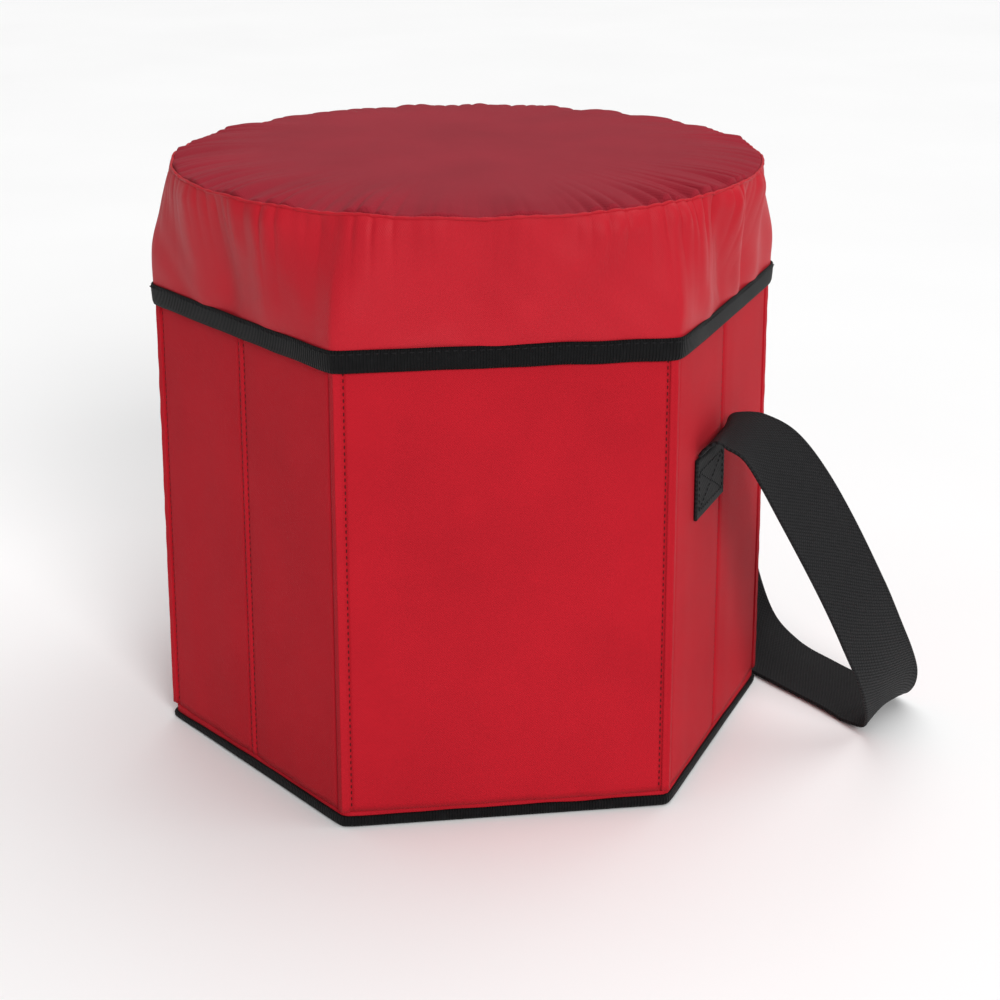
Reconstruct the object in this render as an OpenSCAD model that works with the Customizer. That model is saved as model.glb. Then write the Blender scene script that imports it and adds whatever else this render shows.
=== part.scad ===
// Hexagonal insulated cooler bag with a padded lift-off lid that serves as a seat.
// Six stiff walls stand on a hexagonal base. The four side walls crease at their middle,
// so that the walls fold flat against the back wall. A webbing strap hangs on the right.
// Millimetres, +Z up, origin at the middle of the underside.

/* [Walls] */
// Length of one side of the hexagon, outside
side = 168; // [150:1:190]
// Height of the walls' top edge above the ground
wall_top = 270; // [255:1:275]
// Thickness of a wall with its cover, board and lining
wall_t = 8; // [7:0.5:9]
// Thickness of the woven cover
cover_t = 0.8; // [0.6:0.1:1.2]
// Thickness of the stiff board in a wall
board_t = 2.2; // [1.5:0.1:2.6]

/* [Folding] */
// Gap between a corner's mitred ends and the plane that halves the corner
corner_gap = 0.8; // [0.7:0.1:1]
// Gap between a crease and the leaf on each side of it
crease_gap = 0.5; // [0.4:0.1:0.8]

/* [Base] */
// Thickness of the base
base_t = 8; // [6:0.5:9]
// Height of the black binding round the base
base_band_h = 6.5; // [5:0.5:7]

/* [Lid] */
// Height of the hem of the skirt
hem_z = 240; // [215:1:245]
// Height of the binding tape round the hem
hem_tape_h = 12; // [10:1:15]
// Height of the seam between the skirt and the round top
rim_z = 316; // [306:1:320]
// Radius of the round top at its seam
rim_r = 159; // [150:1:163]
// Height of the middle of the domed top
dome_z = 323; // [321:1:330]
// Room between the skirt and the walls
skirt_room = 1.2; // [1:0.1:1.6]
// Thickness of the skirt's cloth
skirt_t = 1.2; // [1:0.1:1.6]
// Thickness of the stiff seat board in the lid
seat_board_t = 4; // [3:0.5:5]

/* [Strap] */
// Width of the webbing
strap_w = 50; // [40:1:50]
// Thickness of the webbing
strap_t = 1.8; // [1.4:0.1:2]
// Distance from the front corner to the middle of the sewn end, along the wall
strap_along = 57.5; // [52:0.5:57.5]
// Height of the lower end of the sewn ends
strap_low_z = 145; // [120:1:150]

/* [Hidden] */
$fn = 96;
red = [0.75, 0.12, 0.17];
dark_red = [0.6, 0.16, 0.2];
black = [0.08, 0.08, 0.09];
silver = [0.8, 0.81, 0.83];
white = [0.92, 0.92, 0.9];

apothem = side * cos(30);
wall_z = base_t + 0.5;
wall_h = wall_top - wall_z;
lining_t = wall_t - cover_t - board_t;
ply_gap = 0.05;
mitre_cut = corner_gap / cos(30);

// Outward normals of the walls, in degrees from +X
FRONT = -90;
BACK = 90;
LEFT_FRONT = 210;
LEFT_REAR = 150;
RIGHT_FRONT = -30;
RIGHT_REAR = 30;

// ---- walls ----

// Where a wall's mitred end lies, at a distance d from the middle of the bag
function mitre(d) = d * tan(30) - mitre_cut;

// Plan of a slab between the distances d0 and d1, from the end a to the end b.
// An end of 1 or -1 is a mitred corner, and 0 is the crease, approached from the side s.
module slab_plan(d0, d1, ends, s, inset = 0) {
    low = [for (d = [d0, d1]) ends[0] == 0 ? crease_gap + inset : -mitre(d) + inset];
    high = [for (d = [d0, d1]) mitre(d) - inset];
    polygon([[d0, s * low[0]], [d1, s * low[1]], [d1, s * high[1]], [d0, s * high[0]]]);
}

// One ply of a wall leaf, set in from the cover's edges by inset
module ply(normal, ends, s, d0, d1, inset) {
    rotate(normal)
        translate([0, 0, wall_z + inset])
            linear_extrude(wall_h - 2 * inset)
                slab_plan(d0, d1, ends, s, inset);
}

// The woven cover: a tray that holds the board and the lining
module leaf_cover(normal, ends, s) {
    pocket = apothem - cover_t;
    color(red)
        difference() {
            ply(normal, ends, s, apothem - wall_t, apothem, 0);
            ply(normal, ends, s, apothem - wall_t - 1, pocket, cover_t);
        }
}

module leaf_board(normal, ends, s) {
    d1 = apothem - cover_t - ply_gap;
    color(white)
        ply(normal, ends, s, d1 - board_t, d1, cover_t + 0.6);
}

module leaf_lining(normal, ends, s) {
    d1 = apothem - cover_t - board_t - 2 * ply_gap;
    color(silver)
        ply(normal, ends, s, apothem - wall_t, d1, cover_t + 0.2);
}

WHOLE = [1, 1];
HALF = [0, 1];

// ---- corner welts ----

// A blade of folded cloth in the seam of the corner at the angle a
module welt(a) {
    inner = apothem - wall_t + 3.5;
    outer = apothem - 0.4;
    color(red)
        rotate(a)
            translate([inner / cos(30), -0.35, wall_z + 1])
                cube([(outer - inner) / cos(30), 0.7, wall_h - 2]);
}

module front_corner_welts() {
    for (a = [-120, -60])
        welt(a);
}

module back_corner_welts() {
    for (a = [60, 120])
        welt(a);
}

// ---- base ----

module hexagon(flat_to_middle) {
    circle(r = flat_to_middle / cos(30), $fn = 6);
}

module base_binding() {
    color(black)
        linear_extrude(base_band_h)
            difference() {
                hexagon(apothem);
                hexagon(apothem - 3);
            }
}

module base_board() {
    color(black)
        linear_extrude(3)
            hexagon(apothem - 3 - ply_gap);
}

module base_lining() {
    color(silver)
        translate([0, 0, 3 + ply_gap])
            linear_extrude(base_t - 3 - ply_gap)
                hexagon(apothem - 3 - ply_gap);
}

// ---- lid ----

// The lid stands on the walls' top edge. Its outside is a hexagonal prism round the walls,
// which blends upwards into the round rim of the cushion.
hem_apothem = apothem + skirt_room + skirt_t;
lid_floor_z = wall_top + 0.5;
lining_ply = 0.6;
tape_t = 1.6;
foam_z = lid_floor_z + lining_ply + seat_board_t;

// The lid's outer shape, set in all round by inset and cut off below low_z
module lid_shape(inset, low_z) {
    hull() {
        translate([0, 0, low_z])
            linear_extrude(max(lid_floor_z - low_z, 0.1))
                hexagon(hem_apothem - inset);
        translate([0, 0, rim_z - 0.1])
            cylinder(r = rim_r - inset, h = 0.1, $fn = 72);
    }
}

module lid_skirt() {
    color(red)
        difference() {
            lid_shape(0, hem_z);
            translate([0, 0, -0.5])
                lid_shape(skirt_t, hem_z);
            translate([0, 0, rim_z - 1])
                cylinder(r = rim_r - skirt_t, h = 2, $fn = 72);
        }
}

module lid_lining() {
    color(silver)
        translate([0, 0, lid_floor_z])
            linear_extrude(lining_ply)
                hexagon(apothem);
}

module lid_seat_board() {
    color(white)
        translate([0, 0, lid_floor_z + lining_ply])
            linear_extrude(seat_board_t)
                hexagon(apothem);
}

module lid_foam() {
    color(white)
        lid_shape(hem_apothem - apothem, foam_z);
}

// Height of the shallow ball-shaped dome over the rim, at a distance r from its middle
dome_h = dome_z - rim_z;
dome_r = (rim_r * rim_r + dome_h * dome_h) / (2 * dome_h);
DOME_STEPS = 8;
function dome_at(r) = sqrt(dome_r * dome_r - r * r) - dome_r + dome_h;

module lid_top_cover() {
    outline = [for (i = [0:DOME_STEPS]) let (r = rim_r * i / DOME_STEPS) [r, max(dome_at(r), 0.3)]];
    color(dark_red)
        translate([0, 0, rim_z])
            rotate_extrude()
                polygon(concat([[rim_r, 0], [0, 0]], outline));
}

// The tape folded over the skirt's lower edge
module lid_hem_binding() {
    color(black)
        difference() {
            intersection() {
                lid_shape(-tape_t, hem_z);
                translate([-side * 1.5, -side * 1.5, hem_z])
                    cube([side * 3, side * 3, hem_tape_h]);
            }
            translate([0, 0, -0.5])
                lid_shape(-0.05, hem_z);
        }
}

// ---- strap ----

// Middle of the webbing, and the direction across it, from its sewn end on the front
// wall's side, up and over, down to the ground, round the corner and up to its rear end
ROUTE = [
    [[114.4, -96.7, 178.6], [0.5, 0.866, 0]],
    [[117.4, -98, 183.6], [0.5, 0.866, 0.02]],
    [[123, -99.8, 187], [0.5, 0.86, 0.06]],
    [[135, -104, 184], [0.52, 0.83, 0.14]],
    [[148, -107, 172], [0.6, 0.72, 0.25]],
    [[164, -106, 148], [0.68, 0.66, 0.3]],
    [[183, -103, 114], [0.72, 0.64, 0.26]],
    [[201, -99, 78], [0.74, 0.63, 0.15]],
    [[217, -88, 44], [0.72, 0.68, 0.08]],
    [[227, -70, 17], [0.72, 0.68, 0.08]],
    [[224, -54, 4.4], [0.8, 0.6, 0.03]],
    [[214, -30, 1.8], [0.87, 0.48, 0]],
    [[199, 0, 1.8], [0.88, 0.46, 0]],
    [[184, 31, 3.3], [0.92, 0.39, 0.03]],
    [[171, 57, 15], [0.97, 0.2, 0.1]],
    [[161, 75, 50], [0.98, 0.05, 0.2]],
    [[152, 87, 98], [0.9, -0.3, 0.25]],
    [[144, 98, 147], [0.7, -0.6, 0.25]],
    [[134, 102, 179], [0.55, -0.8, 0.14]],
    [[123, 99.8, 187.4], [0.5, -0.86, 0.05]],
    [[117.4, 98, 184], [0.5, -0.866, 0.02]],
    [[114.4, 96.7, 178.6], [0.5, -0.866, 0]]
];
STEPS = 3;
strap_free_z = 176.5;

function unit(v) = v / norm(v);

// A smooth curve through the route's values, at the place u, counted in stations
function route_at(u, part) =
    let (
        last = len(ROUTE) - 1,
        i = min(floor(u), last - 1),
        f = u - i,
        p0 = ROUTE[max(i - 1, 0)][part],
        p1 = ROUTE[i][part],
        p2 = ROUTE[i + 1][part],
        p3 = ROUTE[min(i + 2, last)][part]
    )
    0.5 * (2 * p1 + (p2 - p0) * f + (2 * p0 - 5 * p1 + 4 * p2 - p3) * f * f
        + (3 * p1 - p0 - 3 * p2 + p3) * f * f * f);

// The four corners of the webbing's section at the place u
function strap_ring(u) =
    let (
        last = len(ROUTE) - 1,
        middle = route_at(u, 0),
        along = unit(route_at(min(u + 0.05, last), 0) - route_at(max(u - 0.05, 0), 0)),
        across_raw = route_at(u, 1),
        across = unit(across_raw - (across_raw * along) * along),
        out = cross(along, across)
    )
    [for (c = [[-1, -1], [1, -1], [1, 1], [-1, 1]])
        middle + c[0] * across * strap_w / 2 + c[1] * out * strap_t / 2];

module strap() {
    rings = (len(ROUTE) - 1) * STEPS;
    points = [for (i = [0:rings]) each strap_ring(i / STEPS)];
    // Two triangles for each of the four sides of each stretch between two rings
    sides = [for (i = [0:rings - 1], j = [0:3])
        let (a = 4 * i + j, b = 4 * i + (j + 1) % 4)
            each [[a, b, b + 4], [a, b + 4, a + 4]]];
    caps = [[3, 2, 1, 0], [for (j = [0:3]) 4 * rings + j]];
    color(black)
        polyhedron(points, concat(sides, caps));
}

// A sewn end of the strap, flat on the wall with the given normal
module strap_end(normal, s) {
    color(black)
        rotate(normal)
            translate([
                apothem + 0.2,
                s * (side / 2 - strap_along) - strap_w / 2,
                strap_low_z
            ])
                cube([strap_t, strap_w, strap_free_z - strap_low_z]);
}

leaf_cover(BACK, WHOLE, 1);  // back_wall_cover
leaf_board(BACK, WHOLE, 1);  // back_wall_board
leaf_lining(BACK, WHOLE, 1);  // back_wall_lining
leaf_cover(LEFT_REAR, HALF, -1);  // left_rear_leaf_a_cover
leaf_board(LEFT_REAR, HALF, -1);  // left_rear_leaf_a_board
leaf_lining(LEFT_REAR, HALF, -1);  // left_rear_leaf_a_lining
leaf_cover(LEFT_REAR, HALF, 1);  // left_rear_leaf_b_cover
leaf_board(LEFT_REAR, HALF, 1);  // left_rear_leaf_b_board
leaf_lining(LEFT_REAR, HALF, 1);  // left_rear_leaf_b_lining
leaf_cover(LEFT_FRONT, HALF, -1);  // left_front_leaf_b_cover
leaf_board(LEFT_FRONT, HALF, -1);  // left_front_leaf_b_board
leaf_lining(LEFT_FRONT, HALF, -1);  // left_front_leaf_b_lining
leaf_cover(LEFT_FRONT, HALF, 1);  // left_front_leaf_a_cover
leaf_board(LEFT_FRONT, HALF, 1);  // left_front_leaf_a_board
leaf_lining(LEFT_FRONT, HALF, 1);  // left_front_leaf_a_lining
leaf_cover(RIGHT_REAR, HALF, 1);  // right_rear_leaf_a_cover
leaf_board(RIGHT_REAR, HALF, 1);  // right_rear_leaf_a_board
leaf_lining(RIGHT_REAR, HALF, 1);  // right_rear_leaf_a_lining
leaf_cover(RIGHT_REAR, HALF, -1);  // right_rear_leaf_b_cover
leaf_board(RIGHT_REAR, HALF, -1);  // right_rear_leaf_b_board
leaf_lining(RIGHT_REAR, HALF, -1);  // right_rear_leaf_b_lining
leaf_cover(RIGHT_FRONT, HALF, 1);  // right_front_leaf_b_cover
leaf_board(RIGHT_FRONT, HALF, 1);  // right_front_leaf_b_board
leaf_lining(RIGHT_FRONT, HALF, 1);  // right_front_leaf_b_lining
leaf_cover(RIGHT_FRONT, HALF, -1);  // right_front_leaf_a_cover
leaf_board(RIGHT_FRONT, HALF, -1);  // right_front_leaf_a_board
leaf_lining(RIGHT_FRONT, HALF, -1);  // right_front_leaf_a_lining
leaf_cover(FRONT, WHOLE, 1);  // front_wall_cover
leaf_board(FRONT, WHOLE, 1);  // front_wall_board
leaf_lining(FRONT, WHOLE, 1);  // front_wall_lining
welt(180);  // left_corner_welt
welt(0);  // right_corner_welt
front_corner_welts();
back_corner_welts();
base_board();
base_lining();
base_binding();
lid_seat_board();
lid_foam();
lid_top_cover();
lid_skirt();
lid_hem_binding();
lid_lining();
strap();
strap_end(RIGHT_FRONT, -1);  // strap_end_front
strap_end(RIGHT_REAR, 1);  // strap_end_rear
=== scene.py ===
"""Looks of the hexagonal insulated cooler bag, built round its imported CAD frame."""
import math

import bpy
import numpy as np
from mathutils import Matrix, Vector


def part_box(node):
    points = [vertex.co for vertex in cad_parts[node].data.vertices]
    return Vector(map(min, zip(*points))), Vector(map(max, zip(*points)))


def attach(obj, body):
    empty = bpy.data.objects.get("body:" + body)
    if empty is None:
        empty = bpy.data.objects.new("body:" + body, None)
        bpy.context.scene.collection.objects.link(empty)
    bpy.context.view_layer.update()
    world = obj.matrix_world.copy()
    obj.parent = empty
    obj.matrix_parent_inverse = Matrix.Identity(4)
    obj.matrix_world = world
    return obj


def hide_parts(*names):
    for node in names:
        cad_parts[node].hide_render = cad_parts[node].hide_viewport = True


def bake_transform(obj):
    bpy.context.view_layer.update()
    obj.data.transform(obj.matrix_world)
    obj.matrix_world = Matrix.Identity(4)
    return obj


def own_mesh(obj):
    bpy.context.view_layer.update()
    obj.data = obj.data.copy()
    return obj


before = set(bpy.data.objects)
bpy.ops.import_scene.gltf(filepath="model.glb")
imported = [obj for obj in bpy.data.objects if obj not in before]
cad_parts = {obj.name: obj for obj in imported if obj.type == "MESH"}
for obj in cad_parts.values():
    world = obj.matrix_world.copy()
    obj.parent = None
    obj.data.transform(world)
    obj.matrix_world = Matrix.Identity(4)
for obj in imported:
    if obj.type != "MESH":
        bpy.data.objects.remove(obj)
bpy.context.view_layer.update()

MM = 0.001
FACE_NORMALS = {
    "front": -90, "right_front": -30, "right_rear": 30,
    "back": 90, "left_rear": 150, "left_front": 210,
}

# ---- sizes, all taken from the frame ----

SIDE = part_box("base_binding")[1][0]
APOTHEM = SIDE * math.cos(math.radians(30))
wall_low, wall_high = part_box("front_wall_cover")
WALL_Z0, WALL_Z1 = wall_low[2], wall_high[2]
WALL_T = wall_high[1] - wall_low[1]
hem_low, hem_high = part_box("lid_hem_binding")
HEM_Z0, HEM_Z1 = hem_low[2], hem_high[2]
HEM_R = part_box("lid_skirt")[1][0]
top_low, top_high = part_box("lid_top_cover")
RIM_R, RIM_Z, DOME_Z = top_high[0], top_low[2], top_high[2]
LID_FLOOR_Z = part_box("lid_lining")[0][2]
CREASE_GAP = 0.5 * MM      # from a crease to the leaf beside it
CORNER_CUT = 0.9 * MM      # from a corner to the wall beside it


# ---- camera ----

def make_camera():
    """A long lens, to the bag's front left and a little above its lid."""
    data = bpy.data.cameras.new("camera")
    data.lens = 78.1
    data.sensor_width = 36
    data.shift_y = -0.15
    camera = bpy.data.objects.new("camera", data)
    bpy.context.scene.collection.objects.link(camera)
    heading = math.radians(8.31)
    pitch = math.radians(15.81)
    camera.location = (-0.1488, -1.1394, 0.5327)
    camera.rotation_euler = (math.radians(90) - pitch, 0, -heading)
    bpy.context.scene.camera = camera


make_camera()


# ---- mesh helpers ----

def new_object(name, verts, faces, loop_uvs):
    """An object from points, faces and one UV pair for each face corner, in metres."""
    mesh = bpy.data.meshes.new(name)
    mesh.from_pydata([tuple(v) for v in verts], [], faces)
    layer = mesh.uv_layers.new(name="UVMap")
    layer.data.foreach_set("uv", np.asarray(loop_uvs, np.float32).ravel())
    mesh.polygons.foreach_set("use_smooth", [True] * len(mesh.polygons))
    mesh.update()
    obj = bpy.data.objects.new(name, mesh)
    bpy.context.scene.collection.objects.link(obj)
    return obj


def grid_faces(rows, cols, closed, first=0):
    """Quads of a grid of rows by cols points, and the grid places of their corners."""
    faces, places = [], []
    for i in range(rows - 1):
        for j in range(cols if closed else cols - 1):
            k = (j + 1) % cols
            faces.append([
                first + i * cols + j, first + i * cols + k,
                first + (i + 1) * cols + k, first + (i + 1) * cols + j,
            ])
            places += [(i, j), (i, j + 1), (i + 1, j + 1), (i + 1, j)]
    return faces, places


def grid_object(name, points, u, v, closed=False):
    """A sheet from points[row, column]. u has one value per column, plus one if closed."""
    rows, cols = points.shape[:2]
    faces, places = grid_faces(rows, cols, closed)
    u, v = np.asarray(u), np.asarray(v)
    if v.ndim == 1:
        uvs = [(u[j], v[i]) for i, j in places]
    else:
        uvs = [(u[i][j], v[i][j]) for i, j in places]
    return new_object(name, points.reshape(-1, 3), faces, uvs)


def bake(obj):
    """Applies every modifier."""
    bpy.context.view_layer.update()
    graph = bpy.context.evaluated_depsgraph_get()
    mesh = bpy.data.meshes.new_from_object(obj.evaluated_get(graph))
    obj.modifiers.clear()
    obj.data = mesh
    return obj


def thicken(obj, thickness, outward=0.0):
    """Turns a sheet into a closed shell. outward is -1 to grow inward and 1 outward."""
    solid = obj.modifiers.new("thick", "SOLIDIFY")
    solid.thickness = thickness
    solid.offset = outward
    return bake(obj)


def smoothstep(a, b, x):
    """0 at a and 1 at b, with a level start and end."""
    t = np.clip((x - a) / (b - a), 0, 1)
    return t * t * (3 - 2 * t)


def bump(x, middle, width):
    """A smooth hump of height 1."""
    return np.exp(-((x - middle) / width) ** 2)


def waves(x, seed, lowest, highest, count):
    """A repeatable sum of sines over x in whole waves per turn, about 1 high."""
    draw = np.random.RandomState(seed)
    total = np.zeros_like(np.asarray(x, float))
    for _ in range(count):
        total += draw.uniform(0.5, 1) * np.sin(
            draw.randint(lowest, highest + 1) * x + draw.uniform(0, 2 * math.pi)
        )
    return total / math.sqrt(count)


def face_point(normal, distance, u, z):
    """A point at a distance from the bag's middle, u along the face and z up."""
    a = math.radians(normal)
    return np.stack(
        [
            distance * math.cos(a) - u * math.sin(a),
            distance * math.sin(a) + u * math.cos(a),
            z + 0 * u,
        ],
        axis=-1,
    )


def finish_piece(obj, material, body=None, replaces=()):
    """Material, body and replaced CAD nodes in one step."""
    obj.data.materials.clear()
    obj.data.materials.append(material)
    if body:
        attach(obj, body)
    if replaces:
        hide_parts(*replaces)
    return obj


# ---- materials ----

class Shader:
    """A material under construction."""

    def __init__(self, name):
        self.material = bpy.data.materials.new(name)
        self.material.use_nodes = True
        self.tree = self.material.node_tree
        self.bsdf = self.tree.nodes["Principled BSDF"]
        self.uv = self.node("ShaderNodeUVMap").outputs[0]
        self.place = self.node("ShaderNodeTexCoord").outputs["Object"]

    def node(self, kind, **values):
        made = self.tree.nodes.new(kind)
        for key, value in values.items():
            setattr(made, key, value)
        return made

    def link(self, source, target):
        self.tree.links.new(source, target)

    def math(self, operation, a, b=None):
        made = self.node("ShaderNodeMath", operation=operation)
        for socket, value in zip(made.inputs, (a, b)):
            if value is None:
                continue
            if isinstance(value, (int, float)):
                socket.default_value = value
            else:
                self.link(value, socket)
        return made.outputs[0]

    def noise(self, scale, detail=2.0, coords=None, roughness=0.5):
        made = self.node("ShaderNodeTexNoise")
        made.inputs["Scale"].default_value = scale
        made.inputs["Detail"].default_value = detail
        made.inputs["Roughness"].default_value = roughness
        self.link(self.place if coords is None else coords, made.inputs["Vector"])
        return made.outputs["Fac"]

    def ramp(self, factor, stops):
        made = self.node("ShaderNodeValToRGB")
        elements = made.color_ramp.elements
        while len(elements) < len(stops):
            elements.new(0.5)
        for element, (at, colour) in zip(elements, stops):
            element.position = at
            element.color = (*colour, 1)
        self.link(factor, made.inputs["Fac"])
        return made.outputs["Color"]

    def remap(self, factor, low, high):
        made = self.node("ShaderNodeMapRange")
        made.inputs["To Min"].default_value = low
        made.inputs["To Max"].default_value = high
        self.link(factor, made.inputs["Value"])
        return made.outputs["Result"]

    def axes(self):
        split = self.node("ShaderNodeSeparateXYZ")
        self.link(self.uv, split.inputs[0])
        return split.outputs[0], split.outputs[1]

    def sine(self, value, period):
        return self.math("SINE", self.math("MULTIPLY", value, 2 * math.pi / period))

    def height(self, height, distance, strength=1.0, below=None):
        made = self.node("ShaderNodeBump")
        made.inputs["Distance"].default_value = distance
        made.inputs["Strength"].default_value = strength
        self.link(height, made.inputs["Height"])
        if below is not None:
            self.link(below, made.inputs["Normal"])
        return made.outputs["Normal"]

    def set(self, **values):
        for key, value in values.items():
            self.bsdf.inputs[key.replace("_", " ")].default_value = value

    def colour(self, source):
        self.link(source, self.bsdf.inputs["Base Color"])

    def normal(self, source):
        self.link(source, self.bsdf.inputs["Normal"])

    def roughness(self, source):
        self.link(source, self.bsdf.inputs["Roughness"])


def scaled(colour, factor):
    """A colour made lighter or darker."""
    return tuple(c * factor for c in colour)


def woven(name, colour, pitch, weave_depth, rough, sheen, tint, spread=0.12, gloss=0.07):
    """Plain weave: crossing yarns, slubs with blotches of painted shade standing in for soft wrinkles,
    soft creases and a dry sheen.
    """
    s = Shader(name)
    u, v = s.axes()
    weave = s.math("MULTIPLY", s.sine(u, pitch), s.sine(v, pitch))
    slub = s.noise(900.0, 2.0)
    patchy = s.noise(16.0, 4.0, roughness=0.6)
    # Colour blotches: a quarter slub yarn, the rest painted shade of soft wrinkles
    slub_and_wrinkle_shade = s.math("ADD", s.math("MULTIPLY", patchy, 0.75), s.math("MULTIPLY", slub, 0.25))
    s.colour(s.ramp(slub_and_wrinkle_shade, [
        (0.25, scaled(colour, 1 - spread)), (0.5, colour), (0.78, scaled(colour, 1 + spread)),
    ]))
    s.roughness(s.remap(slub, rough - 0.06, rough + 0.06))
    soft = s.height(s.noise(60.0, 3.0), 0.35 * MM, 0.5)
    grain = s.height(slub, 0.05 * MM, 0.6, soft)
    s.normal(s.height(weave, weave_depth, 0.8, grain))
    s.set(Sheen_Weight=sheen, Sheen_Roughness=0.45, Sheen_Tint=(*tint, 1), Specular_IOR_Level=gloss)
    return s.material


def ribbed(name, colour, pitch, depth):
    """Grosgrain: ribs across the tape, with a slight shine on their crowns."""
    s = Shader(name)
    u, v = s.axes()
    rib = s.sine(u, pitch)
    worn = s.noise(220.0, 3.0)
    s.colour(s.ramp(worn, [(0.35, scaled(colour, 0.7)), (0.6, colour), (0.8, scaled(colour, 1.9))]))
    s.roughness(s.remap(rib, 0.62, 0.5))
    thread = s.height(s.math("MULTIPLY", s.sine(v, 0.7 * MM), worn), 0.08 * MM, 0.5)
    s.normal(s.height(rib, depth, 0.9, thread))
    s.set(Sheen_Weight=0.01, Sheen_Roughness=0.5, Specular_IOR_Level=0.12)
    return s.material


def webbing_material():
    """Heavy flat webbing: chunky staggered picks, with painted highlight making them a shade lighter on
    their crowns.
    """
    s = Shader("webbing_black")
    u, v = s.axes()
    column = s.sine(u, 2.4 * MM)
    stagger = s.math("MULTIPLY", s.math("SIGN", column), 0.6 * MM)
    pick = s.sine(s.math("ADD", v, stagger), 2.4 * MM)
    body = s.math("ADD", s.math("MULTIPLY", s.math("ABSOLUTE", column), 0.5), pick)
    fuzz = s.noise(700.0, 2.0)
    # Colour: random fuzz plus painted highlight on the crowns of the picks
    fuzz_and_crown_highlight = s.math("ADD", s.math("MULTIPLY", pick, 0.25), fuzz)
    dark, light = (0.004, 0.004, 0.0045), (0.014, 0.014, 0.015)
    s.colour(s.ramp(fuzz_and_crown_highlight, [(0.2, dark), (0.8, light)]))
    s.roughness(s.remap(fuzz, 0.58, 0.75))
    s.normal(s.height(body, 0.22 * MM, 0.9, s.height(fuzz, 0.05 * MM, 0.5)))
    s.set(Sheen_Weight=0.01, Sheen_Roughness=0.5, Specular_IOR_Level=0.13)
    return s.material


def foil_material():
    """Bright film with fine crinkles."""
    s = Shader("foil_silver")
    fine = s.noise(190.0, 5.0, roughness=0.6)
    broad = s.noise(45.0, 3.0)
    s.colour(s.ramp(broad, [(0.3, (0.62, 0.63, 0.65)), (0.7, (0.82, 0.83, 0.85))]))
    s.roughness(s.remap(fine, 0.22, 0.42))
    s.normal(s.height(fine, 0.5 * MM, 0.8, s.height(broad, 1.2 * MM, 0.7)))
    s.set(Metallic=0.85)
    return s.material


def thread_material(name, colour):
    """Twisted sewing thread, with painted shade in the twist's grooves and painted highlight on its
    crowns.
    """
    s = Shader(name)
    u, v = s.axes()
    twist = s.sine(s.math("ADD", u, v), 0.5 * MM)
    # Painted light: colour lighter on the twist's crowns and darker in its grooves, following the bump
    s.colour(s.ramp(twist, [(0.0, scaled(colour, 0.8)), (1.0, scaled(colour, 1.15))]))
    s.normal(s.height(twist, 0.05 * MM, 0.6))
    s.set(Roughness=0.6, Sheen_Weight=0.02, Specular_IOR_Level=0.15)
    return s.material


def board_material(name, colour):
    """Fluted plastic sheet: faint ribs and scuffs."""
    s = Shader(name)
    scuff = s.noise(80.0, 4.0)
    s.colour(s.ramp(scuff, [(0.3, scaled(colour, 0.9)), (0.7, colour)]))
    s.roughness(s.remap(scuff, 0.45, 0.6))
    split = s.node("ShaderNodeSeparateXYZ")
    s.link(s.place, split.inputs[0])
    s.normal(s.height(s.sine(split.outputs[2], 4 * MM), 0.2 * MM, 0.5))
    return s.material


RED = (0.42, 0.009, 0.018)
SKIRT_RED = (0.44, 0.010, 0.020)
LID_RED = (0.27, 0.016, 0.028)
BLACK = (0.0045, 0.0045, 0.005)

wall_cloth = woven("wall_cloth_red", RED, 1.3 * MM, 0.10 * MM, 0.7, 0.05, (1.0, 0.45, 0.45))
skirt_cloth = woven(
    "skirt_cloth_red", SKIRT_RED, 1.1 * MM, 0.06 * MM, 0.5, 0.06, (1.0, 0.5, 0.5), 0.08, 0.13
)
lid_cloth = woven(
    "lid_cloth_dull_red", LID_RED, 1.4 * MM, 0.14 * MM, 0.85, 0.06, (1.0, 0.6, 0.62), 0.15, 0.07
)
tape = ribbed("grosgrain_black", BLACK, 1.5 * MM, 0.35 * MM)
webbing = webbing_material()
foil = foil_material()
red_thread = thread_material("thread_red", (0.11, 0.003, 0.006))
black_thread = thread_material("thread_black", (0.008, 0.008, 0.009))
ground_sheet = woven(
    "ground_sheet_black", (0.016, 0.016, 0.017), 1.6 * MM, 0.15 * MM, 0.6, 0.1, (1, 1, 1)
)


# ---- stitches ----

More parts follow.
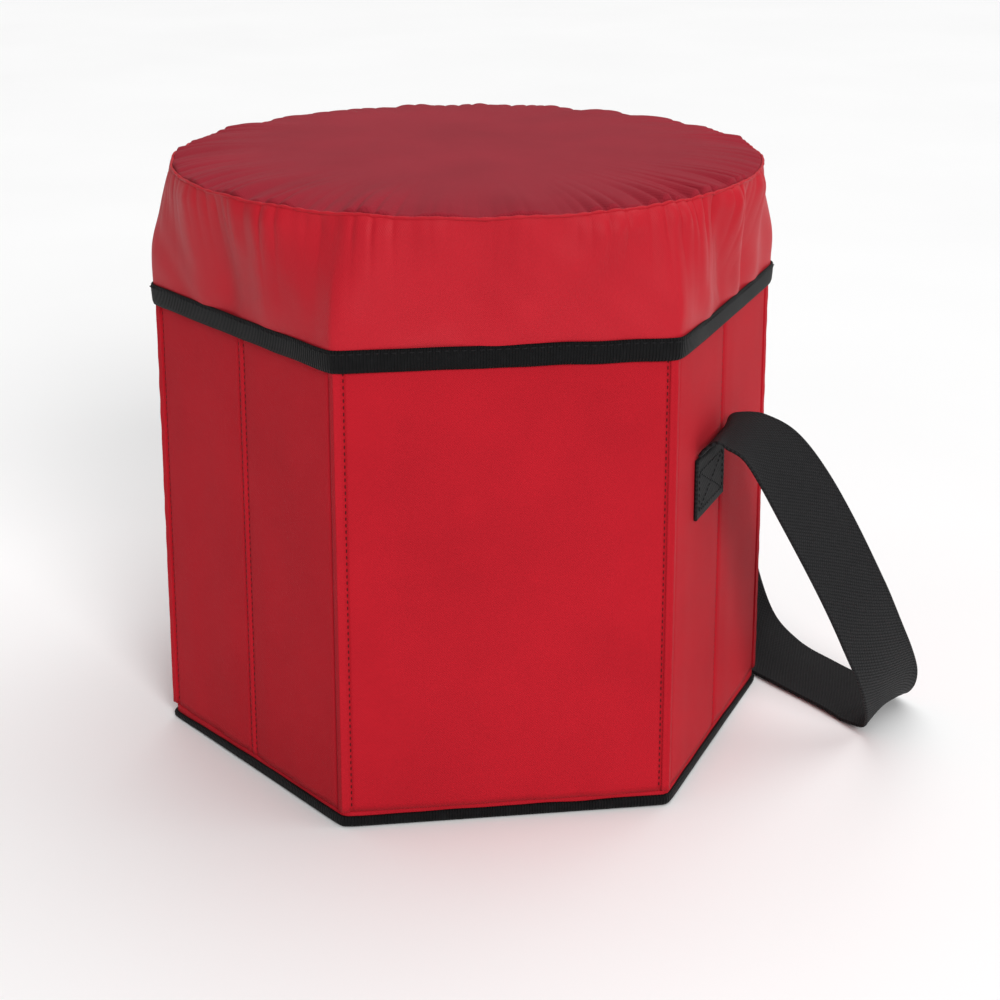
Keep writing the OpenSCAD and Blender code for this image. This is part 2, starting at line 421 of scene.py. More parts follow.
def stitches(name, runs, material, body, stitch=3.0 * MM, gap=1.2 * MM, thick=0.28 * MM):
    """Rows of thread. A run is (points, normals): the thread lies along the points."""
    verts, faces, uvs = [], [], []
    ring, stations = 6, 5
    for points, normals in runs:
        points, normals = np.asarray(points, float), np.asarray(normals, float)
        steps = np.linalg.norm(np.diff(points, axis=0), axis=1)
        along = np.concatenate([[0], np.cumsum(steps)])
        count = int(along[-1] / (stitch + gap))
        if count == 0:
            continue
        pitch = along[-1] / count
        length = pitch * stitch / (stitch + gap)
        for k in range(count):
            start = (k + 0.5) * pitch - length / 2
            places = start + length * np.linspace(0, 1, stations)
            middle = np.stack([np.interp(places, along, points[:, c]) for c in range(3)], 1)
            up = np.stack([np.interp(places, along, normals[:, c]) for c in range(3)], 1)
            up /= np.linalg.norm(up, axis=1)[:, None]
            forward = middle[-1] - middle[0]
            forward /= np.linalg.norm(forward)
            sideways = np.cross(forward, up)
            fat = thick * np.array([0.35, 0.9, 1.0, 0.9, 0.35])
            sunk = thick * np.array([-0.9, 0.1, 0.35, 0.1, -0.9])
            first = len(verts)
            for s in range(stations):
                for r in range(ring):
                    a = 2 * math.pi * r / ring
                    verts.append(
                        middle[s] + up[s] * (sunk[s] + fat[s] * math.sin(a))
                        + sideways[s] * fat[s] * 1.3 * math.cos(a)
                    )
            new_faces, places_uv = grid_faces(stations, ring, True, first)
            faces += new_faces
            uvs += [(j * 0.1 * MM, i * 0.7 * MM) for i, j in places_uv]
            faces.append([first + r for r in reversed(range(ring))])
            faces.append([first + (stations - 1) * ring + r for r in range(ring)])
            uvs += [(0, 0)] * (2 * ring)
    return finish_piece(new_object(name, verts, faces, uvs), material, body)


# ---- walls ----

CORNER_ROW = 4.6 * MM      # from a corner to the row of stitches beside it
CREASE_ROW = 2.3 * MM      # from a crease to the row of stitches beside it
SEAM_HALF = 3.0 * MM       # half width of the piece that turns a corner
SKIN_T = 0.8 * MM          # thickness of the outer cloth
SKIN_DIP = -0.8 * MM       # deepest that stitching pulls the cloth below the walls' face
Z_LOW = WALL_Z0 - 0.3 * MM
Z_HIGH = WALL_Z1

LEAVES = {
    "left_rear": ("left_rear_leaf_a", "left_rear_leaf_b"),
    "left_front": ("left_front_leaf_b", "left_front_leaf_a"),
    "right_front": ("right_front_leaf_a", "right_front_leaf_b"),
    "right_rear": ("right_rear_leaf_b", "right_rear_leaf_a"),
    "front": ("front_wall",),
    "back": ("root",),
}


def skin_height(face, u, z):
    """How far the cloth stands out from the board: a soft puff held down by the stitching."""
    half = SIDE / 2
    seed = 20 + FACE_NORMALS[face] % 360
    edge = smoothstep(CORNER_ROW, 26 * MM, half - np.abs(u))
    turn = 2 * math.pi * z / 0.3
    across = 2 * math.pi * u / SIDE
    if len(LEAVES[face]) == 2:
        crease = smoothstep(CREASE_ROW, 16 * MM, np.abs(u))
        puff = 0.45 * MM * edge * crease
        ridge = 0.55 * MM * bump(np.abs(u), 0.0, 1.4 * MM)
        groove = -0.6 * MM * bump(np.abs(u), CREASE_ROW, 0.75 * MM)
        puff = puff + ridge + groove
        wrinkle = 0.22 * MM
    else:
        puff = 0.9 * MM * edge
        crease = 1.0
        wrinkle = 0.4 * MM
    upright = waves(across + 0.05 * waves(turn, seed + 3, 1, 4, 3), seed, 2, 7, 4)
    fading = smoothstep(0.0, 1.0, 1 - (z - Z_LOW) / (Z_HIGH - Z_LOW))
    puff = puff + wrinkle * edge * crease * upright * (0.35 + 0.65 * fading)
    puff = puff + 0.5 * wrinkle * edge * crease * waves(turn + 0.4 * across, seed + 7, 1, 5, 4)
    if face == "front":
        # Shallow creases that start low on the front wall
        low = smoothstep(0.0, 1.0, (0.15 - z) / 0.12)
        for middle, lean, depth in [(20, -8, 0.5), (38, -4, -0.45), (52, 6, 0.45)]:
            puff = puff + depth * MM * low * edge * bump(u, (middle + lean * z / 0.15) * MM, 5 * MM)
    seam = -0.8 * MM * bump(half - np.abs(u), CORNER_ROW, 0.85 * MM)
    lower = -0.4 * MM * bump(z, Z_LOW, 3 * MM)
    return np.maximum(puff + seam + lower, SKIN_DIP)


def spaced(low, high, step, extra=()):
    """Places from low to high, with extra fine ones near the places in extra."""
    places = list(np.linspace(low, high, max(2, int(round((high - low) / step)) + 1)))
    for middle in extra:
        places += [middle + d * MM for d in (-1.6, -0.8, -0.35, 0, 0.35, 0.8, 1.6)]
    places = sorted(p for p in places if low <= p <= high)
    kept = [places[0]]
    for p in places[1:]:
        if p - kept[-1] > 0.2 * MM:
            kept.append(p)
    kept[-1] = high
    return np.array(kept)


def wall_skin(face):
    """The outer cloth of one wall, with a ridge along the crease if there is one."""
    normal = FACE_NORMALS[face]
    half = SIDE / 2 - SEAM_HALF + 0.2 * MM
    extra = [-SIDE / 2 + CORNER_ROW, SIDE / 2 - CORNER_ROW]
    if len(LEAVES[face]) == 2:
        extra += [-CREASE_ROW, 0.0, CREASE_ROW]
    us = spaced(-half, half, 3.0 * MM, extra)
    zs = spaced(Z_LOW, Z_HIGH, 3.5 * MM)
    u, z = np.meshgrid(us, zs)
    points = face_point(normal, APOTHEM + skin_height(face, u, z), u, z)
    obj = grid_object(f"{face}_skin", points, us, zs)
    thicken(obj, SKIN_T, -1)
    leaves = LEAVES[face]
    nodes = [f"{leaf}_cover" for leaf in leaves]
    if face == "back":
        nodes = ["back_wall_cover"]
    finish_piece(obj, wall_cloth, replaces=nodes)
    if len(leaves) == 1:
        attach(obj, leaves[0])
    else:
        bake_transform(obj)
    return obj


def leaf_ends(face, index):
    """The two ends of a leaf along its wall, at the cover's outer face and at the lining."""
    outer = SIDE / 2 - CORNER_CUT
    inner = outer - WALL_T * math.tan(math.radians(30))
    if len(LEAVES[face]) == 1:
        return (-outer, outer), (-inner, inner)
    if index == 0:
        return (-outer, -CREASE_GAP), (-inner, -CREASE_GAP)
    return (CREASE_GAP, outer), (CREASE_GAP, inner)


def leaf_core(face, index):
    """The cloth-wrapped board and lining of one leaf: a thin pillow with soft edges."""
    leaf = LEAVES[face][index]
    normal = FACE_NORMALS[face]
    outer_ends, inner_ends = leaf_ends(face, index)
    depth = WALL_T - SKIN_T - 0.9 * MM
    d_out = APOTHEM - SKIN_T - 0.1 * MM
    soft = 1.5 * MM
    section = [
        (0.0, soft), (0.3 * soft, 0.3 * soft), (soft, 0.0),
        (depth - soft, 0.0), (depth - 0.3 * soft, 0.3 * soft), (depth, soft),
    ]
    zs = spaced(WALL_Z0 + 0.1 * MM, WALL_Z1 - 0.1 * MM, 12 * MM)
    ring_points = []
    for z in zs:
        ring = []
        for side in (0, 1):
            rows = section if side == 0 else section[::-1]
            for inwards, inset in rows:
                share = (inwards + SKIN_T) / WALL_T
                end = outer_ends[side] * (1 - share) + inner_ends[side] * share
                u = end + inset * (1 if side == 0 else -1)
                ring.append(face_point(normal, np.array(d_out - inwards), np.array(u), np.array(z)))
        ring_points.append(ring)
    points = np.array(ring_points)
    rows, cols = points.shape[:2]
    faces, places = grid_faces(rows, cols, True)
    verts = points.reshape(-1, 3)
    width = np.linalg.norm(points[0, 0] - points[0, len(section)])
    us = np.linspace(0, 2 * width, cols + 1)
    uvs = [(us[j], zs[i]) for i, j in places]
    faces.append([j for j in reversed(range(cols))])
    faces.append([(rows - 1) * cols + j for j in range(cols)])
    cap = [(c[0], c[1]) for c in points[0][::-1]] + [(c[0], c[1]) for c in points[-1]]
    uvs += cap
    obj = new_object(f"{leaf}_{face}_core" if leaf == "root" else f"{leaf}_core", verts, faces, uvs)
    return finish_piece(obj, wall_cloth, leaf)


def lining_panel(face, index):
    """The foil-faced foam of one leaf, crinkled, with rounded edges."""
    leaf = LEAVES[face][index]
    node = "back_wall_lining" if face == "back" else f"{leaf}_lining"
    normal = FACE_NORMALS[face]
    inner_ends = leaf_ends(face, index)[1]
    margin = 2.5 * MM
    us = spaced(inner_ends[0] + margin, inner_ends[1] - margin, 4 * MM)
    zs = spaced(WALL_Z0 + 1.0 * MM, WALL_Z1 - 6 * MM, 5 * MM)
    u, z = np.meshgrid(us, zs)
    rim = np.minimum(np.minimum(u - us[0], us[-1] - u), np.minimum(z - zs[0], zs[-1] - z))
    swell = smoothstep(-1.0 * MM, 5 * MM, rim)
    seed = 60 + FACE_NORMALS[face] % 360 + index
    crinkle = waves(2 * math.pi * u / 0.1 + waves(40 * z, seed, 1, 3, 3), seed + 1, 1, 7, 5)
    crinkle = crinkle * waves(2 * math.pi * z / 0.12, seed + 2, 1, 5, 4)
    back = APOTHEM - WALL_T + 1.3 * MM
    face_d = back - 1.1 * MM * swell - 0.12 * MM * swell * (1 + crinkle)
    front = face_point(normal, face_d, u, z)
    obj = grid_object(f"{node}_foil", front, us, zs)
    thicken(obj, 0.7 * MM, 1)
    finish_piece(obj, foil, leaf, [node])
    return obj


def corner_frame(angle):
    """The corner's direction and the direction round the bag, at an angle in degrees."""
    a = math.radians(angle)
    return np.array([math.cos(a), math.sin(a), 0]), np.array([-math.sin(a), math.cos(a), 0])


def corner_profile(across):
    """Distance below the corner's tip for a place across it: two flat sides and a round tip."""
    slope = math.tan(math.radians(30))
    tip = 1.1 * MM
    return slope * (np.sqrt(across ** 2 + tip ** 2) - tip)


def corner_seam(name, angle, bodies, side=0):
    """The narrow pinched seam that turns a corner. side is 0 for all of it, -1 or 1 for half."""
    out, around = corner_frame(angle)
    reach = SEAM_HALF * math.cos(math.radians(30)) + 0.6 * MM
    places = [0, 0.12, 0.3, 0.5, 0.75, 1.0, 1.35, 1.8, 2.4, 3.2]
    ts = np.array([-p for p in places[:0:-1]] + places) * MM
    ts = np.clip(ts, -reach, reach)
    if side:
        ts = ts[ts * side >= 0]
    zs = spaced(Z_LOW, Z_HIGH, 3.5 * MM)
    t, z = np.meshgrid(ts, zs)
    turn = 2 * math.pi * z / 0.3
    pinch = 0.55 * MM * bump(t, 0, 0.9 * MM) * (1 + 0.25 * waves(turn, 90 + angle % 360, 6, 22, 6))
    pinch = pinch + 0.25 * MM * bump(t, 0, 2.2 * MM)
    radius = SIDE - corner_profile(t) + pinch - 0.1 * MM
    points = radius[..., None] * out + t[..., None] * around
    points = points + z[..., None] * np.array([0, 0, 1.0])
    obj = grid_object(name, points, ts, zs)
    thicken(obj, SKIN_T, -1)
    finish_piece(obj, wall_cloth)
    if len(bodies) == 1:
        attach(obj, bodies[0])
    else:
        reach = 1.3 * MM
        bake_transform(obj)
    return obj


def wall_stitches(face):
    """Rows beside the corners and on both sides of the crease."""
    normal = FACE_NORMALS[face]
    leaves = LEAVES[face]
    zs = spaced(Z_LOW + 2 * MM, Z_HIGH - 26 * MM, 4 * MM)
    rows = {leaf: [] for leaf in leaves}
    first, last = leaves[0], leaves[-1]
    rows[first].append(-SIDE / 2 + CORNER_ROW)
    rows[last].append(SIDE / 2 - CORNER_ROW)
    if len(leaves) == 2:
        rows[first].append(-CREASE_ROW)
        rows[last].append(CREASE_ROW)
    a = math.radians(normal)
    out = np.array([math.cos(a), math.sin(a), 0])
    for leaf, places in rows.items():
        runs = []
        for u in places:
            height = skin_height(face, np.full_like(zs, u), zs)
            points = face_point(normal, APOTHEM + height, np.full_like(zs, u), zs)
            runs.append((points, np.tile(out, (len(zs), 1))))
        name = f"{face}_stitches" if leaf == "root" else f"{leaf}_stitches"
        stitches(name, runs, red_thread, leaf, 2.6 * MM, 0.7 * MM, 0.3 * MM)


CORNERS = {
    "left_rear_corner_seam": (120, ("root", "left_rear_leaf_a")),
    "left_corner_seam": (180, ("left_rear_leaf_b", "left_front_leaf_b")),
    "left_front_corner_seam": (240, ("left_front_leaf_a", "front_wall")),
    "right_corner_seam": (0, ("right_front_leaf_b", "right_rear_leaf_b")),
    "right_rear_corner_seam": (60, ("right_rear_leaf_a", "root")),
}
OPEN_CORNER = 300


def build_walls():
    """Cloth, thread, boards' wrapping and foil of every wall, and the seams between them."""
    for face, leaves in LEAVES.items():
        wall_skin(face)
        wall_stitches(face)
        for index in range(len(leaves)):
            leaf_core(face, index)
            lining_panel(face, index)
    for name, (angle, bodies) in CORNERS.items():
        corner_seam(name, angle, bodies)
    corner_seam("right_front_corner_seam_a", OPEN_CORNER, ("front_wall",), -1)
    corner_seam("right_front_corner_seam_b", OPEN_CORNER, ("right_front_leaf_a",), 1)


# ---- base ----

def hexagon_radius(angles, flat, soft=0.0):
    """Distance from the middle to a hexagon's side in each direction."""
    sector = math.radians(60)
    off = np.mod(angles, sector) - sector / 2
    sharp = flat / np.cos(off)
    if soft == 0:
        return sharp
    corner = flat / math.cos(sector / 2)
    return sharp - soft * 0.35 * np.exp(-((corner - sharp) / (0.45 * soft)))


def base_band():
    """The black tape round the base, folded under it. It narrows towards the back."""
    columns = 720
    angles = (np.arange(columns) + 0.5) * 2 * math.pi / columns
    ahead = smoothstep(-0.35, 0.35, -np.sin(angles) - 0.25)
    wave = waves(angles, 5, 9, 40, 6)
    height = (2.6 + 2.6 * ahead) * MM + 0.25 * MM * wave
    profile = []
    flat = APOTHEM
    low = 0.15 * MM
    lean = 0.25 * MM * waves(angles, 6, 6, 30, 6)
    for share, out, up in [
        (0, -9.0 * MM, 0.55 * MM), (0, -8.8 * MM, low), (0, -2.0 * MM, low),
        (0, 0.1 * MM, 0.5 * MM), (0.3, 0.75 * MM, 0), (0.75, 0.8 * MM, 0),
        (1.0, 0.45 * MM, 0), (1.0, -0.6 * MM, 0),
    ]:
        radius = hexagon_radius(angles, flat + out, 3 * MM) + (lean * share if share else 0)
        z = up + share * height if share else np.full(columns, up)
        profile.append(np.stack([radius * np.cos(angles), radius * np.sin(angles), z], 1))
    points = np.array(profile)
    us = np.arange(columns + 1) * (6 * SIDE / columns)
    vs = np.linspace(0, 20 * MM, len(profile))
    obj = grid_object("base_band", points, us, vs, closed=True)
    thicken(obj, 0.5 * MM, 1)
    finish_piece(obj, tape, "root", ["base_binding", "base_board"])


def crumple(x, y, seed):
    """Soft uneven swelling of a foil sheet lying flat."""
    rows = waves(2 * math.pi * (x + 0.3 * y) / 0.2, seed, 1, 7, 4)
    return rows * waves(2 * math.pi * (y - 0.2 * x) / 0.2, seed + 1, 1, 7, 4)


def base_block():
    """The base's own cloth-covered side, its black underside and the foil on its top."""
    columns = 360
    angles = (np.arange(columns) + 0.5) * 2 * math.pi / columns
    for name, rows, material, slot, nodes in [
        ("base_side", [(-9, 1.0), (-1.2, 1.0), (-0.5, 1.4), (-0.45, 7.4), (-1.2, 8.0), (-9, 8.0)],
         wall_cloth, "wall_cloth", ()),
        ("base_underside", [(-138, 0.5), (-80, 0.45), (-10, 0.4), (-7, 0.5), (-7, 3.0), (-138, 3.0)],
         ground_sheet, "base_board", ()),
        ("base_foil", [(-138, 3.4), (-12, 3.4), (-10, 5.0), (-11, 7.2), (-14, 7.9)]
         + [(-20 - 7 * k, 8.0) for k in range(17)] + [(-138, 8.0)],
         foil, "foil_lining", ("base_lining",)),
    ]:
        points = []
        for out, up in rows:
            radius = hexagon_radius(angles, APOTHEM + out * MM, 2 * MM)
            z = np.full(columns, up * MM)
            if name == "base_foil" and up > 7.5:
                swell = crumple(radius * np.cos(angles), radius * np.sin(angles), 31)
                z = z - 0.3 * MM * (1 + 0.5 * swell)
            points.append(np.stack([radius * np.cos(angles), radius * np.sin(angles), z], 1))
        points = np.array(points)
        rows_n, cols = points.shape[:2]
        faces, places = grid_faces(rows_n, cols, True)
        uvs = [
            (points[i, j % cols, 0], points[i, j % cols, 1] + points[i, j % cols, 2])
            for i, j in places
        ]
        verts = list(points.reshape(-1, 3))
        if name == "base_side":
            for j in range(cols):
                k = (j + 1) % cols
                faces.append([(rows_n - 1) * cols + j, (rows_n - 1) * cols + k, k, j])
                uvs += [(0, 0), (0.001, 0), (0.001, 0.001), (0, 0.001)]
        else:
            faces.append([j for j in reversed(range(cols))])
            faces.append([(rows_n - 1) * cols + j for j in range(cols)])
            uvs += [tuple(points[0, j, :2]) for j in reversed(range(cols))]
            uvs += [tuple(points[-1, j, :2]) for j in range(cols)]
        finish_piece(new_object(name, verts, faces, uvs), material, "root", nodes)


# ---- lid ----

def lid_radius(angles, z):
    """The lid's outline: a hexagon at the hem that turns into the round rim above the walls."""
    flat = HEM_R * math.cos(math.radians(30))
    rise = (z - HEM_Z0) / (RIM_Z - HEM_Z0)
    blend = smoothstep(0.25, 1.08, rise)
    full = hexagon_radius(angles, flat, 5.0 * MM)
    ring = RIM_R + 0 * angles
    swollen = 1.6 * MM * np.sin(math.pi * np.clip(rise, 0, 1))
    return full * (1 - blend) + ring * blend + swollen


def gathers(angles):
    """Puckers of the gathered rim: round crests between sharp valleys, stronger in some
    stretches than in others."""
    pull = np.clip(waves(angles, 11, 26, 74, 11), -1.3, 1.3)
    crests = 1.6 * np.abs(pull) ** 0.7 - 0.85
    strength = 0.5 + 0.3 * waves(angles, 12, 2, 9, 4)
    degrees = np.degrees(angles) % 360
    strength = strength + 1.1 * bump(degrees, 308, 20) + 0.5 * bump(degrees, 222, 12)
    return crests * np.clip(strength, 0.15, 1.9)


def broad_gathers(angles):
    """Wider puckers, a few of the fine ones across."""
    return waves(angles, 13, 14, 34, 8)


def skirt_folds(angles, rise):
    """Slanting soft folds of the skirt: each starts at the rim and leans as it falls."""
    degrees = np.degrees(angles) % 360
    total = np.zeros(np.broadcast(angles, rise).shape)
    for start, lean, width, height in [
        (291, -27, 6.5, 1.7), (268, -14, 7.0, -1.2), (250, -12, 5.0, 0.9), (236, 2, 4.0, -0.9),
        (224, -3, 4.5, 1.3), (211, -2, 3.5, -1.1), (196, 4, 5.0, 1.0), (303, 12, 3.4, 1.3),
        (311, 15, 2.6, -1.3), (318, 17, 3.0, 1.5), (326, 14, 2.8, -1.2), (335, 12, 3.6, 1.2),
        (347, 9, 4.0, -0.9), (20, 14, 5.0, 1.2), (45, -12, 4.5, -1.0), (75, 12, 6.0, 1.1),
        (110, -14, 5.0, 1.2), (140, 12, 4.5, -1.0), (165, -12, 5.5, 1.0),
    ]:
        middle = start + lean * (1 - rise)
        off = (degrees - middle + 180) % 360 - 180
        total = total + 2.3 * height * MM * np.exp(-(off / width) ** 2) * smoothstep(0.02, 0.35, rise)
    return total


def rim_line(angles):
    """Radius and height of the seam between the top and the skirt."""
    wobble, broad = gathers(angles), broad_gathers(angles)
    radius = RIM_R - 1.5 * MM + 0.25 * MM * wobble + 0.3 * MM * broad
    return radius, RIM_Z - 0.3 * MM + 0.35 * MM * wobble + 0.4 * MM * broad


def lid_skirt():
    """The cloth between the rim's seam and the hem, gathered at the rim and loosely folded."""
    columns = 1080
    angles = (np.arange(columns) + 0.5) * 2 * math.pi / columns
    zs = spaced(HEM_Z0 + 1.5 * MM, RIM_Z, 1.9 * MM)
    angle, z = np.meshgrid(angles, zs)
    rise = (z - HEM_Z0) / (RIM_Z - HEM_Z0)
    radius = lid_radius(angle, z)
    near_rim = np.exp(-(1 - rise) * (RIM_Z - HEM_Z0) / (13 * MM))
    lower_rim = np.exp(-(1 - rise) * (RIM_Z - HEM_Z0) / (24 * MM))
    held = smoothstep(0.0, 0.22, rise)
    radius = radius + 1.8 * MM * gathers(angle) * near_rim
    radius = radius + 1.5 * MM * broad_gathers(angle) * lower_rim
    radius = radius + held * skirt_folds(angle, rise)
    radius = radius + 0.35 * MM * held * waves(angle + 0.5 * rise, 15, 8, 40, 8)
    rim_radius, rim_z = rim_line(angle)
    join = smoothstep(0.88, 1.0, rise)
    radius = radius * (1 - join) + rim_radius * join
    z = z * (1 - join) + rim_z * join
    points = np.stack([radius * np.cos(angle), radius * np.sin(angle), z], -1)
    us = np.arange(columns + 1) * (2 * math.pi * RIM_R / columns)
    obj = grid_object("lid_skirt_cloth", points, us, zs, closed=True)
    thicken(obj, 0.7 * MM, -1)
    finish_piece(obj, skirt_cloth, "lid", ["lid_skirt"])


def lid_cushion():
    """The padded top: a domed disc, puckered where it is gathered to the rim."""
    columns = 1080
    angles = (np.arange(columns) + 0.5) * 2 * math.pi / columns
    shares = np.concatenate([
        np.linspace(0.03, 0.8, 26), np.linspace(0.815, 0.95, 18),
        [0.957, 0.964, 0.971, 0.978, 0.984, 0.99, 0.995, 1.0],
    ])
    rows = []
    for share in shares:
        inward = (1 - share) * RIM_R
        dome = (DOME_Z - RIM_Z) * (0.3 * (1 - share ** 2) + 0.7 * (1 - share ** 11))
        pucker = 2.3 * MM * gathers(angles) * np.exp(-inward / (16 * MM))
        fold = 1.3 * MM * broad_gathers(angles) * np.exp(-((inward - 10 * MM) / (26 * MM)) ** 2)
        slack = 0.5 * MM * waves(angles, 17, 3, 11, 6) * share ** 2 * (1 - share ** 8)
        edge = smoothstep(0.975, 1.0, share)
        r = share * RIM_R + 0.5 * MM * bump(share, 0.985, 0.012) * (1 + gathers(angles))
        r = r - 1.8 * MM * edge
        z = RIM_Z + dome + (pucker + fold) * smoothstep(0, 0.3, share) * (1 - edge) + slack
        rows.append(np.stack([r * np.cos(angles), r * np.sin(angles), z - 0.8 * MM * edge], 1))
    for drop, inset in [(1.6, 2.8), (4.0, 5.5), (18.0, 10.0), (34.0, 18.0)]:
        r = RIM_R - inset * MM
        z = np.full(columns, RIM_Z - drop * MM)
        rows.append(np.stack([r * np.cos(angles), r * np.sin(angles), z], 1))
    points = np.array(rows)
    count, cols = points.shape[:2]
    faces, places = grid_faces(count, cols, True)
    uvs = [(points[i, j % cols, 0], points[i, j % cols, 1]) for i, j in places]
    verts = list(points.reshape(-1, 3))
    top = len(verts)
    verts.append(np.array([0, 0, points[0, :, 2].mean()]))
    for j in range(cols):
        k = (j + 1) % cols
        faces.append([top, k, j])
        uvs += [(0, 0), tuple(points[0, k, :2]), tuple(points[0, j, :2])]
    bottom = len(verts)
    verts.append(np.array([0, 0, points[-1, 0, 2]]))
    for j in range(cols):
        k = (j + 1) % cols
        faces.append([bottom, (count - 1) * cols + j, (count - 1) * cols + k])
        uvs += [(0, 0), tuple(points[-1, j, :2]), tuple(points[-1, k, :2])]
    faces = [f[::-1] for f in faces]
    flipped = []
    at = 0
    for f in faces:
        flipped += uvs[at:at + len(f)][::-1]
        at += len(f)
    obj = new_object("lid_cushion", verts, faces, flipped)
    finish_piece(obj, lid_cloth, "lid", ["lid_top_cover", "lid_foam", "lid_seat_board"])
    return obj


def tube_loop(name, centres, radius, material, body, ring=10):
    """A closed round cord through a loop of centres, at varying radius."""
    count = len(centres)
    forward = np.roll(centres, -1, 0) - np.roll(centres, 1, 0)
    forward /= np.linalg.norm(forward, axis=1)[:, None]
    up = np.tile([0, 0, 1.0], (count, 1))
    side = np.cross(forward, up)
    side /= np.linalg.norm(side, axis=1)[:, None]
    up = np.cross(side, forward)
    points = []
    for r in range(ring):
        a = 2 * math.pi * r / ring
        points.append(centres + radius[:, None] * (side * math.cos(a) + up * math.sin(a)))
    points = np.array(points)
    length = np.linalg.norm(np.diff(centres, axis=0), axis=1).sum()
    rows, cols = ring, count
    faces, uvs = [], []
    for i in range(rows):
        k = (i + 1) % rows
        for j in range(cols):
            m = (j + 1) % cols
            faces.append([i * cols + j, i * cols + m, k * cols + m, k * cols + j])
            step = length / cols
            uvs += [
                (j * step, i * MM), ((j + 1) * step, i * MM),
                ((j + 1) * step, (i + 1) * MM), (j * step, (i + 1) * MM),
            ]
    obj = new_object(name, points.reshape(-1, 3), faces, uvs)
    return finish_piece(obj, material, body)


def rim_seam():
    """The pinched seam allowance between the top and the skirt."""
    columns = 1080
    angles = (np.arange(columns) + 0.5) * 2 * math.pi / columns
    radius, z = rim_line(angles)
    centres = np.stack([radius * np.cos(angles), radius * np.sin(angles), z], 1)
    thick = (0.8 + 0.2 * waves(angles, 19, 60, 140, 8)) * MM
    tube_loop("lid_rim_seam", centres, thick, skirt_cloth, "lid")


def hem_tape():
    """Grosgrain folded over the skirt's lower edge, inside and out."""
    columns = 1080
    angles = (np.arange(columns) + 0.5) * 2 * math.pi / columns
    tall = HEM_Z1 - HEM_Z0
    ripple = waves(angles, 21, 10, 36, 8)
    rows = []
    for out, up in [
        (-1.6, 0.80), (-1.7, 0.30), (-1.2, 0.06), (-0.2, 0.0), (0.9, 0.05), (1.5, 0.2), (1.6, 0.5),
        (1.6, 0.8), (1.35, 0.94), (0.7, 1.0), (0.2, 0.97),
    ]:
        z = HEM_Z0 + tall * up + 0.25 * MM * ripple
        level = HEM_Z0 + tall * up
        radius = lid_radius(angles, np.full(columns, level)) + out * MM + 0.2 * MM * ripple * max(out, 0)
        rows.append(np.stack([radius * np.cos(angles), radius * np.sin(angles), z], 1))
    points = np.array(rows)
    us = np.arange(columns + 1) * (6 * SIDE / columns)
    vs = np.linspace(0, 2.3 * tall, len(rows))
    obj = grid_object("lid_hem_tape", points, us, vs, closed=True)
    thicken(obj, 0.45 * MM, -1)
    finish_piece(obj, tape, "lid", ["lid_hem_binding"])
    level = HEM_Z0 + 0.84 * tall
    loop = lid_radius(angles, np.full(columns, level)) + 1.62 * MM
    ends = np.append(np.arange(columns), 0)
    points = np.stack([loop * np.cos(angles), loop * np.sin(angles), level + 0.25 * MM * ripple], 1)[ends]
    normals = np.stack([np.cos(angles), np.sin(angles), 0 * angles], 1)[ends]
    stitches("lid_hem_stitches", [(points, normals)], black_thread, "lid")


def lid_underside():
    """Foil on the underside of the seat board."""
    columns = 360
    angles = (np.arange(columns) + 0.5) * 2 * math.pi / columns
    rows = []
    for out, up in [(-1, 0.75), (-0.6, 0.3), (-2, 0.0)] + [(-9 - 7 * k, 0) for k in range(20)]:
        radius = hexagon_radius(angles, APOTHEM + out * MM, 2 * MM)
        z = LID_FLOOR_Z + (up + 0.12) * MM
        z = z + 0.1 * MM * crumple(radius * np.cos(angles), radius * np.sin(angles), 41)
        rows.append(np.stack([radius * np.cos(angles), radius * np.sin(angles), z], 1))
    points = np.array(rows)
    count, cols = points.shape[:2]
    faces, places = grid_faces(count, cols, True)
    uvs = [(points[i, j % cols, 0], points[i, j % cols, 1]) for i, j in places]
    faces.append([(count - 1) * cols + j for j in range(cols)])
    uvs += [tuple(points[-1, j, :2]) for j in range(cols)]
    faces.append([j for j in reversed(range(cols))])
    uvs += [tuple(points[0, j, :2]) for j in reversed(range(cols))]
    obj = new_object("lid_foil", points.reshape(-1, 3), faces, uvs)
    finish_piece(obj, foil, "lid", ["lid_lining"])


# ---- strap ----

# Middle of the webbing in millimetres, and the direction across it
ROUTE = [
    ((114.4, -96.7, 178.6), (0.5, 0.866, 0)),
    ((117.4, -98, 183.6), (0.5, 0.866, 0.02)),
    ((123, -99.8, 187), (0.5, 0.86, 0.06)),
    ((135, -104, 184), (0.52, 0.83, 0.14)),
    ((148, -107, 172), (0.6, 0.72, 0.25)),
    ((164, -106, 148), (0.68, 0.66, 0.3)),
    ((183, -103, 114), (0.72, 0.64, 0.26)),
    ((201, -99, 78), (0.74, 0.63, 0.15)),
    ((217, -88, 44), (0.72, 0.68, 0.08)),
    ((227, -70, 17), (0.72, 0.68, 0.08)),
    ((224, -54, 4.4), (0.8, 0.6, 0.03)),
    ((214, -30, 1.8), (0.87, 0.48, 0)),
    ((199, 0, 1.8), (0.88, 0.46, 0)),
    ((184, 31, 3.3), (0.92, 0.39, 0.03)),
    ((171, 57, 15), (0.97, 0.2, 0.1)),
    ((161, 75, 50), (0.98, 0.05, 0.2)),
    ((152, 87, 98), (0.9, -0.3, 0.25)),
    ((144, 98, 147), (0.7, -0.6, 0.25)),
    ((134, 102, 179), (0.55, -0.8, 0.14)),
    ((123, 99.8, 187.4), (0.5, -0.86, 0.05)),
    ((117.4, 98, 184), (0.5, -0.866, 0.02)),
    ((114.4, 96.7, 178.6), (0.5, -0.866, 0)),
]
STRAP_W = 50 * MM
STRAP_T = 1.8 * MM


